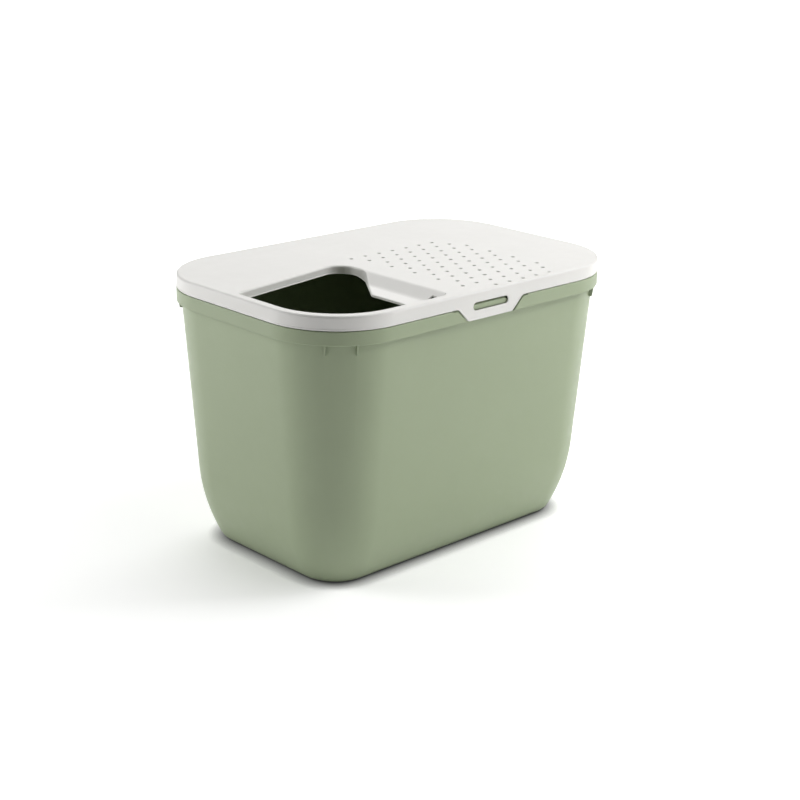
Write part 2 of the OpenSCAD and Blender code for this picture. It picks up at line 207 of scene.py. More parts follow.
class LITTERBOX_PG_latch(bpy.types.PropertyGroup):
    """Sizes of the latch tab and its catch"""

    root: length("Root", "Width of the tab at its root", 126)
    tip: length("Tip", "Width of the tab at its lower edge", 86)
    flare: length("Flare", "Radius where the skirt's edge turns down into the tab", 8)
    corner: length("Corner", "Radius of the tab's lower corners", 9)
    slot_width: length("Slot width", "Width of the slot", 68)
    slot_height: length("Slot height", "Height of the slot", 11)
    bend: length("Bend", "Height of the bending line above the skirt's lower edge", 8.6)
    bar: length("Bar", "Distance from the bending line to the slot", 4.4)
    gap: length("Gap", "Gap round the tab in the tub's band", 2.2)
    catch_gap: length("Catch gap", "Gap between the tab's back and the catch", 0.5)
    catch_slope: length("Catch slope", "Slope at the top of the catch", 2)


class LITTERBOX_PG_tub(bpy.types.PropertyGroup):
    """Sizes of the tub"""

    wall: length("Wall", "Thickness of the wall", 2.6)
    band_height: length("Band height", "Height of the band round the mouth", 19.1)
    overhang: length("Overhang", "Overhang of the band past the wall", 7.1)
    skirt_gap: length("Skirt gap", "Gap between the lid's skirt and the band", 0.8)
    seat_gap: length("Seat gap", "Gap between the upstand and the lid", 0.4)
    draft: angle("Draft", "Lean of the straight wall", 4.3)
    belly_radius: length("Belly radius", "Radius of the curve from the wall to the foot", 260)
    belly_height: length("Belly height", "Height where the straight wall turns into the curve", 110)
    floor_height: length("Floor height", "Height of the floor's underside", 4)
    arch_height: length("Arch height", "Height of the arch in the foot at each end", 3.4)
    arch_width: length("Arch width", "Width of the arch in the foot at each end", 104)
    arch_slope: length("Arch slope", "Slope at each side of the arch", 7)
    foot_radius: length("Foot radius", "Rounding of the foot's outer edge", 18)
    foot_land: length("Foot land", "Width of the ring that the tub stands on", 3)
    rib_wall: length("Rib wall", "Thickness of a stacking rib", 2.6)
    rib_drop: length("Rib drop", "Height of a stacking rib below the band", 14)
    rib_end: angle("Rib near the end", "Angle of the rib nearer the box's end", 41)
    rib_side: angle("Rib near the side", "Angle of the rib nearer the box's side", 63.5)


class LITTERBOX_PG_hinge(bpy.types.PropertyGroup):
    """Sizes of the two hinges at the back"""

    offset: length("Offset", "Distance of each hinge from the middle", 130)
    knuckle_width: length("Knuckle width", "Width of a knuckle", 44)
    pin_drop: length("Pin drop", "Depth of the pin below the shoulder", 9.2)
    pin_radius: length("Pin radius", "Radius of the pin", 2.75)
    pin_clearance: length("Pin clearance", "Running clearance round the pin", 0.06)
    knuckle_wall: length("Knuckle wall", "Wall of the knuckle round the pin", 2.2)
    knuckle_gap: length("Knuckle gap", "Free space beside a knuckle", 0.6)
    ear_wall: length("Ear wall", "Thickness of the ears that hold the pin", 3)
    wall_gap: length("Wall gap", "Gap between the knuckle and the tub's wall", 0.3)
    mouth: angle("Mouth", "Angle over which the knuckle is open", 100)


class LITTERBOX_PG_finish(bpy.types.PropertyGroup):
    """Colours and surface of the two plastics"""

    tub: colour("Tub colour", "Sage green of the tub", (0.305, 0.361, 0.232))
    lid: colour("Lid colour", "Warm white of the lid", (0.715, 0.707, 0.680))
    tub_roughness: number("Tub roughness", "Mean roughness of the tub", 0.42)
    lid_roughness: number("Lid roughness", "Mean roughness of the lid", 0.4)
    grain: number("Grain", "Strength of the moulded grain", 0.12)


class LITTERBOX_PG_stage(bpy.types.PropertyGroup):
    """Camera, floor and lights"""

    azimuth: angle("Azimuth", "Camera's angle round the box", -43.757)
    elevation: angle("Elevation", "Camera's angle above the horizon", 18.563)
    roll: angle("Roll", "Camera's tilt about its line of sight", 0.992)
    distance: length("Distance", "Distance from the aim to the camera", 2379.404)
    aim_height: length("Aim height", "Height of the aim above the floor", 200)
    aim_right: length("Aim right", "Shift of the aim to the right", 13.489)
    aim_down: length("Aim down", "Shift of the aim downwards", 12.92)
    lens: number("Lens", "Focal length in millimetres for a 36 mm sensor", 73.07)
    floor_size: length("Floor size", "Side of the floor", 60000)
    floor_colour: colour("Floor colour", "Pale floor", (0.97, 0.97, 0.97))
    floor_glow: number("Floor glow", "Light that comes through the floor from below", 0.235)
    sky: number("Sky", "Light of the surroundings", 0.02)
    # Width of the painted contact shadow, which darkens the floor's colour and glow near the box
    contact: length("Contact", "Width of the contact shadow on the floor", 22)
    fade_start: length("Fade start", "Where the floor starts to turn plain white", 1300)
    fade_end: length("Fade end", "Where the floor is plain white", 3500)
    left: number("Left", "Power of the softbox behind the box's left end, in watts", 34)
    right: number("Right", "Power of the low softbox at the right, in watts", 14.8)
    key: number("Key", "Power of the high softbox at the right, in watts", 37.3)
    fill: number("Fill", "Power of the high softbox in front, in watts", 10.2)
    back: number("Back", "Power of the light over the floor behind the box, in watts", 98)
    far: number("Far", "Power of the light over the far floor, in watts", 1266)


GROUPS = (
    ("litterbox_lid", LITTERBOX_PG_lid),
    ("litterbox_entry", LITTERBOX_PG_entry),
    ("litterbox_deck", LITTERBOX_PG_deck),
    ("litterbox_latch", LITTERBOX_PG_latch),
    ("litterbox_tub", LITTERBOX_PG_tub),
    ("litterbox_hinge", LITTERBOX_PG_hinge),
    ("litterbox_finish", LITTERBOX_PG_finish),
    ("litterbox_stage", LITTERBOX_PG_stage),
)


def sizes(scene):
    """The groups of sizes, and the heights and radii that follow from them"""
    s = SimpleNamespace(**{name.split("_")[1]: getattr(scene, name) for name, _ in GROUPS})
    lid, tub, hinge, entry = s.lid, s.tub, s.hinge, s.entry
    s.path_x = lid.long_side / 2 - lid.corner_radius
    s.path_y = lid.short_side / 2 - lid.corner_radius
    s.mid_y = LID_BOX[0].y + lid.short_side / 2
    s.top = lid.top
    s.plate_under = s.top - lid.wall
    s.skirt = s.top - lid.skirt_height
    s.face_r = lid.corner_radius - lid.bead_depth
    s.skirt_in = lid.corner_radius - lid.wall
    s.flat_r = s.face_r - lid.edge_radius
    s.band_top = s.skirt - tub.skirt_gap
    s.band = s.band_top - tub.band_height
    s.upstand = s.plate_under - tub.seat_gap
    s.wall_out = lid.corner_radius - tub.overhang
    s.wall_in = s.wall_out - tub.wall
    s.lean = math.tan(tub.draft)
    s.knuckle_r = hinge.pin_radius + hinge.pin_clearance + hinge.knuckle_wall
    s.hinge_y = s.path_y + s.wall_out + hinge.wall_gap + s.knuckle_r
    s.hinge_z = s.band_top - hinge.pin_drop
    s.notch_half = hinge.knuckle_width / 2 + hinge.knuckle_gap
    s.x0 = -lid.long_side / 2 + entry.rim_land
    s.x1 = s.x0 + entry.along
    s.y0 = -lid.short_side / 2 + entry.rim_land
    s.y1 = s.y0 + entry.reach
    s.collar = s.top - entry.collar_depth
    s.lip = s.collar - entry.lip_height
    s.ramp_x = s.x1 - entry.ramp_width
    s.shelf_x = s.ramp_x - entry.shelf_width
    s.shelf_y = s.y0 + entry.shelf_reach
    s.neck_y = s.y1 - entry.neck_land
    s.bend = s.skirt + s.latch.bend
    s.slot_z = s.bend - s.latch.bar - s.latch.slot_height / 2
    s.front_y = -lid.short_side / 2
    s.wall_y = s.path_y + s.wall_out
    s.tab_half = s.latch.root / 2 + s.latch.flare
    return s


# Outlines in plan: lists of stations, each a point, its outward direction and the number of its corner


def outline(points, radii, spacing=None, steps=10, closed=True):
    """Stations along an anticlockwise outline with rounded corners, and more between them at the spacing"""
    stations = []
    count = len(points)
    for i, corner in enumerate(points):
        before, after = points[i - 1], points[(i + 1) % count]
        if not closed and i in (0, count - 1):
            along = (after - corner) if i == 0 else (corner - before)
            stations.append((corner, Vector((along.y, -along.x)).normalized(), i))
            continue
        u, v = (before - corner).normalized(), (after - corner).normalized()
        half = u.angle(v) / 2
        side = 1 if u.cross(v) < 0 else -1
        if radii[i] == 0:
            stations.append((corner, -side * (u + v).normalized(), i))
            continue
        centre = corner + (u + v).normalized() * (radii[i] / math.sin(half))
        start = corner + u * (radii[i] / math.tan(half)) - centre
        for k in range(steps + 1):
            arm = Matrix.Rotation(side * (math.pi - 2 * half) * k / steps, 2) @ start
            stations.append((centre + arm, side * arm.normalized(), i))
    if spacing is None:
        return stations
    filled = []
    for here, there in zip(stations, stations[1:] + stations[:1]):
        filled.append(here)
        if here[2] == there[2] or (not closed and there is stations[0]):
            continue
        gaps = max(1, math.ceil((there[0] - here[0]).length / spacing))
        for k in range(1, gaps):
            filled.append((here[0].lerp(there[0], k / gaps), there[1], here[2] + 0.5))
    return filled


def grown(points, radii, distance):
    """The corners moved outwards, and the radii that keep the outline at an equal distance"""
    moved, kept = [], []
    for i, corner in enumerate(points):
        u = (corner - points[i - 1]).normalized()
        v = (points[(i + 1) % len(points)] - corner).normalized()
        nu, nv = Vector((u.y, -u.x)), Vector((v.y, -v.x))
        moved.append(corner + (nu + nv) * distance / (1 + nu.dot(nv)))
        turn = 1 if u.cross(v) > 0 else -1
        kept.append(0 if radii[i] == 0 else max(LEAST_RADIUS, radii[i] + turn * distance))
    return moved, kept


def plan_stations(s):
    """Stations round the box's plan: the corner centre and the outward direction"""
    corners = []
    for k, (sx, sy) in enumerate(((1, -1), (1, 1), (-1, 1), (-1, -1))):
        for i in range(ARC_STEPS + 1):
            a = math.pi / 2 * (k - 1 + i / ARC_STEPS)
            corners.append((Vector((sx * s.path_x, sy * s.path_y)), Vector((math.cos(a), math.sin(a)))))
    stations = []
    for here, there in zip(corners, corners[1:] + corners[:1]):
        stations.append(here)
        gaps = max(1, round((there[0] - here[0]).length / PLAN_SPACING))
        stations += [(here[0].lerp(there[0], k / gaps), here[1]) for k in range(1, gaps)]
    return stations


def arc(centre, radius, start, end, steps=FILLET_STEPS):
    """Points of an arc in a section, from start to end in degrees"""
    turns = [math.radians(start + (end - start) * i / steps) for i in range(steps + 1)]
    return [(centre[0] + radius * math.cos(t), centre[1] + radius * math.sin(t)) for t in turns]


# Mesh building


def loft(bm, sections, around=True, along=False):
    """Faces between neighbouring sections, each a list of points of the same length"""
    rings = [[bm.verts.new(p) for p in section] for section in sections]
    pairs = list(zip(rings, rings[1:] + rings[:1])) if around else list(zip(rings, rings[1:]))
    for a, b in pairs:
        last = len(a) if along else len(a) - 1
        for j in range(last):
            k = (j + 1) % len(a)
            bm.faces.new((a[j], a[k], b[k], b[j]))


def fill(bm, loops):
    """Flat faces inside the first loop and outside the others, which lie in one plane square to an axis"""
    points = [Vector(p) for loop in loops for p in loop]
    spans = [max(p[k] for p in points) - min(p[k] for p in points) for k in range(3)]
    flat = spans.index(min(spans))
    u, v = [k for k in range(3) if k != flat]
    polygons = [[Vector((p[u], p[v])) for p in loop] for loop in loops]
    edges, start = [], 0
    for loop in loops:
        edges += [(start + i, start + (i + 1) % len(loop)) for i in range(len(loop))]
        start += len(loop)
    plane = [1000 * p for polygon in polygons for p in polygon]
    found, _, triangles, _, _, _ = geometry.delaunay_2d_cdt(plane, edges, [], 0, 1e-6)
    if len(found) != len(points):
        raise RuntimeError(f"a flat face has {len(points)} corners, and {len(found)} after its triangulation")
    verts = [bm.verts.new(p) for p in points]
    for tri in triangles:
        middle = sum((found[i] for i in tri), Vector((0, 0))) / 3000
        if inside(polygons[0], middle) and not any(inside(hole, middle) for hole in polygons[1:]):
            bm.faces.new([verts[i] for i in tri])


def finish_mesh(bm, name, shift=None):
    """A closed mesh from the builder, its doubles merged and its faces turned outwards"""
    bmesh.ops.remove_doubles(bm, verts=bm.verts, dist=MERGE)
    bmesh.ops.dissolve_degenerate(bm, edges=bm.edges, dist=MERGE / 2)
    open_edges = [e for e in bm.edges if len(e.link_faces) != 2]
    if open_edges:
        where = [tuple(round(1000 * c, 2) for c in e.verts[0].co) for e in open_edges[:6]]
        raise RuntimeError(f"{name} has {len(open_edges)} open edges, near {where} mm")
    bmesh.ops.recalc_face_normals(bm, faces=bm.faces)
    if bm.calc_volume(signed=True) < 0:
        bmesh.ops.reverse_faces(bm, faces=bm.faces)
    if shift:
        bmesh.ops.translate(bm, verts=bm.verts, vec=shift)
    mesh = bpy.data.meshes.new(name)
    bm.to_mesh(mesh)
    bm.free()
    return mesh


def shown(name, mesh):
    """A mesh as an object of the scene"""
    obj = bpy.data.objects.new(name, mesh)
    bpy.context.scene.collection.objects.link(obj)
    return obj


def solid(name, points, start, end, place, bevel=0.0):
    """A closed solid: an outline pushed from start to end, its long edges bevelled"""
    bm = bmesh.new()
    ends = [[place(u, v, w) for u, v in points] for w in (start, end)]
    loft(bm, ends, around=False, along=True)
    for loop in ends:
        bm.faces.new([bm.verts.new(p) for p in loop])
    bmesh.ops.remove_doubles(bm, verts=bm.verts, dist=MERGE)
    if bevel:
        bmesh.ops.recalc_face_normals(bm, faces=bm.faces)
        sharp = [e for e in bm.edges if e.calc_face_angle(0) > SHARP_ANGLE]
        bmesh.ops.bevel(
            bm, geom=sharp, offset=bevel, segments=2, profile=0.5, affect="EDGES", clamp_overlap=True
        )
    return shown(name, finish_mesh(bm, name))


def along_x(u, v, w):
    """Across the box's middle plane: the section lies in y and z"""
    return (w, u, v)


def along_y(u, v, w):
    """Through the box's front: the section lies in x and z"""
    return (u, w, v)


def along_z(u, v, w):
    """Upright: the section lies in x and y"""
    return (u, v, w)


def settle(obj):
    """Turns what the modifiers make into the object's plain mesh"""
    graph = bpy.context.evaluated_depsgraph_get()
    mesh = bpy.data.meshes.new_from_object(obj.evaluated_get(graph), depsgraph=graph)
    obj.modifiers.clear()
    obj.data = mesh


def combine(obj, parts):
    """Joins solids to the object or cuts them from it, and removes them"""
    for operation, part in parts:
        modifier = obj.modifiers.new(operation.lower(), "BOOLEAN")
        modifier.operation = operation
        modifier.solver = "EXACT"
        modifier.object = part
    settle(obj)
    for _, part in parts:
        bpy.data.objects.remove(part)


def smooth_shading(obj):
    """Smooth faces with sharp edges by angle, and normals weighted by area so that flats stay flat"""
    mesh = obj.data
    for polygon in mesh.polygons:
        polygon.use_smooth = True
    mesh.set_sharp_from_angle(angle=SHARP_ANGLE)
    modifier = obj.modifiers.new("weighted_normals", "WEIGHTED_NORMAL")
    modifier.keep_sharp = True
    modifier.weight = 100
    settle(obj)


def finish_piece(obj, body, material, node):
    """Gives the piece its plastic, ties it to its body and hides the CAD node that it stands for"""
    obj.data.materials.clear()
    obj.data.materials.append(material)
    smooth_shading(obj)
    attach(obj, body)
    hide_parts(node)


# Nodes and materials


def wire(tree, source, target):
    """Links an output to an input, or sets the input to a plain value"""
    source = getattr(source, "socket", source)
    if isinstance(source, bpy.types.NodeSocket):
        tree.links.new(source, target)
    else:
        target.default_value = source


def add_node(tree, kind, inputs=(), **settings):
    """One node with its settings and its linked or plain inputs"""
    made = tree.nodes.new(kind)
    for key, value in settings.items():
        setattr(made, key, value)
    for key, value in dict(inputs).items():
        wire(tree, value, made.inputs[key])
    return made


def shader_node(tree, kind, inputs=(), **settings):
    """One shader node"""
    return add_node(tree, f"ShaderNode{kind}", inputs, **settings)


def geometry_node(tree, kind, inputs=(), **settings):
    """One geometry node"""
    return add_node(tree, f"GeometryNode{kind}", inputs, **settings)


def calculate(tree, operation, *values):
    """One Math node"""
    return shader_node(tree, "Math", dict(enumerate(values)), operation=operation).outputs[0]


def vector(tree, x, y, z):
    """One Combine XYZ node"""
    return shader_node(tree, "CombineXYZ", {"X": x, "Y": y, "Z": z}).outputs[0]


class Term:
    """A number in a node tree, whose arithmetic adds Math nodes"""

    def __init__(self, tree, socket):
        self.tree, self.socket = tree, socket

    def math(self, operation, *values):
        """One Math node with this number first"""
        return Term(self.tree, calculate(self.tree, operation, self, *values))

    def __add__(self, value):
        return self.math("ADD", value)

    def __sub__(self, value):
        return self.math("SUBTRACT", value)

    def __mul__(self, value):
        return self.math("MULTIPLY", value)

    def __truediv__(self, value):
        return self.math("DIVIDE", value)

    def __mod__(self, value):
        return self.math("MODULO", value)

    def __lt__(self, value):
        return self.math("LESS_THAN", value)

    def __gt__(self, value):
        return self.math("GREATER_THAN", value)


def new_material(name, build):
    """A material whose shader's inputs are what the function makes in its tree"""
    material = bpy.data.materials.new(name)
    material.use_nodes = True
    tree = material.node_tree
    shader = tree.nodes["Principled BSDF"]
    for key, value in build(tree).items():
        wire(tree, value, shader.inputs[key])
    return material


def moulded_plastic(name, base, roughness, grain):
    """Moulded plastic: slow drift of colour and gloss from the flow, fine grain in the surface"""

    def build(tree):
        place = shader_node(tree, "TexCoord").outputs["Object"]

        def noise(kind):
            inputs = {"Vector": place, "Scale": kind[0], "Detail": kind[1]}
            return shader_node(tree, "TexNoise", inputs).outputs["Fac"]

        def spread(source, low, high):
            inputs = {"Value": source, "To Min": low, "To Max": high}
            inputs["From Min"], inputs["From Max"] = NOISE_RANGE
            return shader_node(tree, "MapRange", inputs).outputs["Result"]

        drift = calculate(
            tree, "MULTIPLY_ADD", noise(SPECKS), SPECK_SHARE, spread(noise(FLOW), 0, 1 - SPECK_SHARE)
        )
        dark, light = [(*[min(1, c * share) for c in base], 1) for share in SHADES]
        shade = shader_node(tree, "Mix", {0: drift, 6: dark, 7: light}, data_type="RGBA")
        smoother, rougher = ROUGHNESS_SPREAD
        fine = {"Strength": grain, "Distance": GRAIN_DEPTH, "Height": noise(GRAIN)}
        wave = {"Strength": grain, "Distance": WAVE_DEPTH, "Height": noise(WAVES)}
        wave["Normal"] = shader_node(tree, "Bump", fine).outputs["Normal"]
        return {
            "Base Color": shade.outputs[2],
            "Roughness": spread(noise(GLOSS), roughness - smoother, roughness + rougher),
            "Normal": shader_node(tree, "Bump", wave).outputs["Normal"],
            "IOR": PLASTIC_IOR,
            "Specular IOR Level": PLASTIC_GLOSS,
        }

    return bpy.data.materials.get(name) or new_material(name, build)


def tub_plastic(s):
    """The tub's green plastic"""
    return moulded_plastic("moulded_green_plastic", s.finish.tub, s.finish.tub_roughness, s.finish.grain)


def lid_plastic(s):
    """The off-white plastic of the lid and the latch tab"""
    return moulded_plastic("moulded_white_plastic", s.finish.lid, s.finish.lid_roughness, s.finish.grain)


# Geometry Nodes


def new_tree(name, inputs):
    """A tree with a geometry input, the named inputs and a geometry output"""
    tree = bpy.data.node_groups.new(name, "GeometryNodeTree")
    sockets = {}
    for label, kind in (("Geometry", "Geometry"), *inputs):
        sockets[label] = tree.interface.new_socket(label, in_out="INPUT", socket_type=f"NodeSocket{kind}")
    tree.interface.new_socket("Geometry", in_out="OUTPUT", socket_type="NodeSocketGeometry")
    given = tree.nodes.new("NodeGroupInput")
    return tree, sockets, given.outputs


def end_tree(tree, result, material):
    """Realize Instances and Set Material at the end of a tree"""
    real = geometry_node(tree, "RealizeInstances", {"Geometry": result})
    painted = geometry_node(tree, "SetMaterial", {"Geometry": real.outputs[0], "Material": material})
    tree.links.new(painted.outputs[0], tree.nodes.new("NodeGroupOutput").inputs[0])


def apply_tree(obj, tree, sockets, values):
    """Runs a tree on the object and keeps its result as a plain mesh"""
    modifier = obj.modifiers.new(tree.name, "NODES")
    modifier.node_group = tree
    for label, value in values.items():
        modifier[sockets[label].identifier] = value
    settle(obj)


def litter_holes_tree():
    """Staggered rows of chamfered holes cut through the deck"""
    names = ("Hole Radius", "Chamfer", "Pitch", "Start X", "Front Y", "Top", "Depth")
    inputs = [(name, "Float") for name in names]
    inputs += [("Rows", "Int"), ("Columns", "Int"), ("Material", "Material")]
    tree, sockets, given = new_tree("litter_holes", inputs)
    radius, chamfer, pitch, start_x, front_y = (Term(tree, given[name]) for name in names[:5])
    rows, columns = Term(tree, given["Rows"]), Term(tree, given["Columns"])
    index = Term(tree, geometry_node(tree, "InputIndex").outputs[0])
    row, column = (index / columns).math("FLOOR"), index % columns
    first, last = row < 0.5, row > rows - 1.5
    move = (first + last).math("MAXIMUM", row % 2.0 * 0.5)
    x = start_x - (move + column) * pitch
    y = front_y + row * (pitch * math.sin(math.radians(60)))
    place = vector(tree, x, y, given["Top"])
    points = geometry_node(tree, "Points", {"Count": rows * columns, "Position": place})
    unwanted = first * (column > columns - 2.5)
    choice = {"Geometry": points.outputs[0], "Selection": unwanted}
    kept = geometry_node(tree, "DeleteGeometry", choice, domain="POINT")
    cylinder = {"Vertices": HOLE_SIDES, "Radius": radius, "Depth": given["Depth"]}
    shaft = geometry_node(tree, "MeshCylinder", cylinder)
    tall = chamfer * 2.0
    cone = {"Vertices": HOLE_SIDES, "Radius Top": radius + tall, "Radius Bottom": radius, "Depth": tall}
    sink = geometry_node(tree, "MeshCone", cone)
    down = vector(tree, 0.0, 0.0, chamfer * -1.0)
    sunk = geometry_node(tree, "Transform", {"Geometry": sink.outputs[0], "Translation": down})
    cut = geometry_node(
        tree, "MeshBoolean", {"Mesh 1": given["Geometry"]}, operation="DIFFERENCE", solver="EXACT"
    )
    for cutter in (shaft.outputs[0], sunk.outputs[0]):
        placed = geometry_node(tree, "InstanceOnPoints", {"Points": kept.outputs[0], "Instance": cutter})
        real = geometry_node(tree, "RealizeInstances", {"Geometry": placed.outputs[0]})
        tree.links.new(real.outputs[0], cut.inputs["Mesh 2"])
    end_tree(tree, cut.outputs[0], given["Material"])
    return tree, sockets


def stacking_ribs_tree():
    """Two ribs in each corner, mirrored about both middles and joined to the tub"""
    names = ("Path X", "Path Y", "End Angle", "Side Angle")
    inputs = [(name, "Float") for name in names] + [("Rib", "Object"), ("Material", "Material")]
    tree, sockets, given = new_tree("stacking_ribs", inputs)
    path_x, path_y, end, side = (Term(tree, given[name]) for name in names)
    index = Term(tree, geometry_node(tree, "InputIndex").outputs[0])
    corner, second = (index / 2.0).math("FLOOR"), index % 2.0
    sign_x = corner % 2.0 * -2.0 + 1.0
    sign_y = (corner / 2.0).math("FLOOR") * -2.0 + 1.0
    turn = end + second * (side - end)
    heading = (sign_y * turn.math("SINE")).math("ARCTAN2", sign_x * turn.math("COSINE"))
    where = vector(tree, sign_x * path_x, sign_y * path_y, 0.0)
    points = geometry_node(tree, "Points", {"Count": 8, "Position": where})
    rib = geometry_node(tree, "ObjectInfo", {"Object": given["Rib"]})
    copies = {"Points": points.outputs[0], "Instance": rib.outputs["Geometry"]}
    copies["Rotation"] = vector(tree, 0.0, 0.0, heading)
    placed = geometry_node(tree, "InstanceOnPoints", copies)
    real = geometry_node(tree, "RealizeInstances", {"Geometry": placed.outputs[0]})
    joined = geometry_node(tree, "MeshBoolean", operation="UNION", solver="EXACT")
    for part in (given["Geometry"], real.outputs[0]):
        tree.links.new(part, joined.inputs["Mesh 2"])
    end_tree(tree, joined.outputs[0], given["Material"])
    return tree, sockets


# Tub


def belly(s, inset, low, high, steps=22):
    """The tub's curved wall, drawn in by the inset, between two heights"""
    tub = s.tub
    top_r = s.wall_out - (s.band - tub.belly_height) * s.lean
    centre_r = top_r - tub.belly_radius * math.cos(tub.draft)
    centre_z = tub.belly_height + tub.belly_radius * math.sin(tub.draft)
    radius = tub.belly_radius - inset
    start, end = math.asin((centre_z - low) / radius), math.asin((centre_z - high) / radius)
    turns = [start + (end - start) * i / steps for i in range(steps + 1)]
    return [(centre_r + radius * math.cos(t), centre_z - radius * math.sin(t)) for t in turns]


def softened(points, radii, steps=8):
    """A section whose corners are rounded by their radii, 0 for a point that stays"""
    result = []
    for i, here in enumerate(points):
        if not radii[i] or i in (0, len(points) - 1):
            result.append(here)
            continue
        corner, before, after = Vector(here), Vector(points[i - 1]), Vector(points[i + 1])
        u, v = (before - corner).normalized(), (after - corner).normalized()
        half = u.angle(v) / 2
        centre = corner + (u + v).normalized() * (radii[i] / math.sin(half))
        start = corner + u * (radii[i] / math.tan(half)) - centre
        side = 1 if u.cross(v) < 0 else -1
        for k in range(steps + 1):
            point = centre + Matrix.Rotation(side * (math.pi - 2 * half) * k / steps, 2) @ start
            result.append((point.x, point.y))
    return result


def tub_section(s):
    """Section of the tub from under its floor, over the foot, wall, band and upstand, to the floor inside"""
    tub, outer = s.tub, s.lid.corner_radius
    wall_foot = belly(s, 0, 0, tub.belly_height, 60)
    lean = math.pi / 2 - math.atan2(wall_foot[1][1], wall_foot[1][0] - wall_foot[0][0])
    reach = tub.foot_radius * math.tan(math.pi / 4 - lean / 2)
    foot_in = wall_foot[0][0] - reach - tub.foot_land
    floor_r = foot_in - FLOOR_INSET
    floor_top = tub.floor_height + tub.wall
    band_in = outer - tub.wall
    shoulder_low = s.band_top - tub.wall
    near_band = 0.002
    inner = belly(s, tub.wall, floor_top, tub.belly_height)
    corners = [
        ((floor_r, tub.floor_height), 0),
        ((foot_in, tub.floor_height), FOOT_EDGE),
        ((foot_in, 0), FOOT_EDGE),
        (wall_foot[0], tub.foot_radius),
        *[(p, 0) for p in belly(s, 0, reach * math.cos(lean) + OVERLAP, tub.belly_height)],
        ((s.wall_out - s.lean * near_band, s.band - near_band), 0),
        ((s.wall_out, s.band), 0),
        ((s.wall_out, shoulder_low), POCKET_EDGE),
        ((band_in, shoulder_low), POCKET_EDGE),
        ((band_in, s.band), LOW_BAND_EDGE),
        ((outer, s.band), BAND_EDGE),
        ((outer, s.band_top), BAND_EDGE),
        ((s.wall_out, s.band_top), SHOULDER),
        ((s.wall_out, s.upstand), MOUTH_EDGE),
        ((s.wall_in, s.upstand), MOUTH_EDGE),
        ((s.wall_in, s.band), 0),
        ((s.wall_in - s.lean * near_band, s.band - near_band), 0),
        *[(p, 0) for p in reversed(inner[1:])],
        (inner[0], FLOOR_FILLET),
        ((floor_r, floor_top), 0),
    ]
    return softened([p for p, _ in corners], [r for _, r in corners])


def rectangle(u0, u1, v0, v1):
    """Corners of a rectangle"""
    return [(u0, v0), (u1, v0), (u1, v1), (u0, v1)]


def tab_outline(s, distance=0.0):
    """Corners and radii of the latch tab in the front view, grown by a distance"""
    latch = s.latch
    right = [(latch.tip / 2, s.band), (latch.root / 2, s.skirt), (s.tab_half, s.skirt), (s.tab_half, s.bend)]
    points = [Vector(p) for p in [(-x, z) for x, z in reversed(right)] + right]
    radii = [0, 0, latch.flare, latch.corner, latch.corner, latch.flare, 0, 0]
    return grown(points, radii, distance) if distance else (points, radii)


def build_tub(s):
    """The tub's moulding without its stacking ribs"""
    tub, hinge, latch = s.tub, s.hinge, s.latch
    section = tub_section(s)
    stations = plan_stations(s)

    def ring(r, z):
        return [(*(c + d * r), z) for c, d in stations]

    bm = bmesh.new()
    loft(bm, [[(*(c + d * r), z) for r, z in section] for c, d in stations])
    fill(bm, [ring(*section[0])])
    fill(bm, [ring(*section[-1])])
    obj = shown("tub_moulding", finish_mesh(bm, "tub_moulding"))
    depth = s.lid.wall + latch.catch_gap + NOTCH_EXTRA
    notch = [tuple(p) for p, _, _ in outline(*tab_outline(s, latch.gap))]
    parts = [("DIFFERENCE", solid("notch", notch, s.front_y - PAST, s.front_y + depth, along_y))]
    reach = s.lid.long_side / 2 - s.path_x
    half = tub.arch_width / 2
    arch = [(-half, -PAST), (half, -PAST), (half, 0), (half - tub.arch_slope, tub.arch_height)]
    arch += [(tub.arch_slope - half, tub.arch_height), (-half, 0)]
    for side in (-1, 1):
        end = side * s.lid.long_side / 2
        parts.append(("DIFFERENCE", solid("arch", arch, end - reach, end + reach, along_x)))
        x = side * hinge.offset
        room = rectangle(x - s.notch_half, x + s.notch_half, s.wall_y, s.wall_y + 2 * PAST)
        parts.append(
            ("DIFFERENCE", solid("room", room, s.band - OVERLAP, s.band_top + 2 * OVERLAP, along_z))
        )
    catch_y = s.front_y + s.lid.wall + latch.catch_gap
    root_y = -(s.wall_y - OVERLAP)
    room_below, room_above, room_beside = CATCH_ROOM
    catch_low = s.slot_z - latch.slot_height / 2 + room_below
    catch_high = s.slot_z + latch.slot_height / 2 - room_above
    catch = [(root_y, catch_low), (catch_y, catch_low), (catch_y, catch_high - latch.catch_slope)]
    catch += [(catch_y + latch.catch_slope, catch_high), (root_y, catch_high)]
    catch_half = latch.slot_width / 2 - room_beside
    parts.append(("UNION", solid("catch", catch, -catch_half, catch_half, along_x, CATCH_BEVEL)))
    outside, below, above = EAR_ROOM
    ear_outline = rectangle(s.wall_y - OVERLAP, -s.front_y - outside, s.band + below, s.band_top - above)
    for side in (-1, 1):
        x = side * hinge.offset
        for ear in (-1, 1):
            face = x + ear * s.notch_half
            back = face + ear * hinge.ear_wall
            made = solid("ear", ear_outline, min(face, back), max(face, back), along_x, EAR_BEVEL)
            parts.append(("UNION", made))
        last = PIN_SIDES - 1
        pin = arc((s.hinge_y, s.hinge_z), hinge.pin_radius, 0, 360 * last / PIN_SIDES, last)
        end = s.notch_half + hinge.ear_wall * PIN_GRIP
        parts.append(("UNION", solid("pin", pin, x - end, x + end, along_x)))
    combine(obj, parts)
    return obj


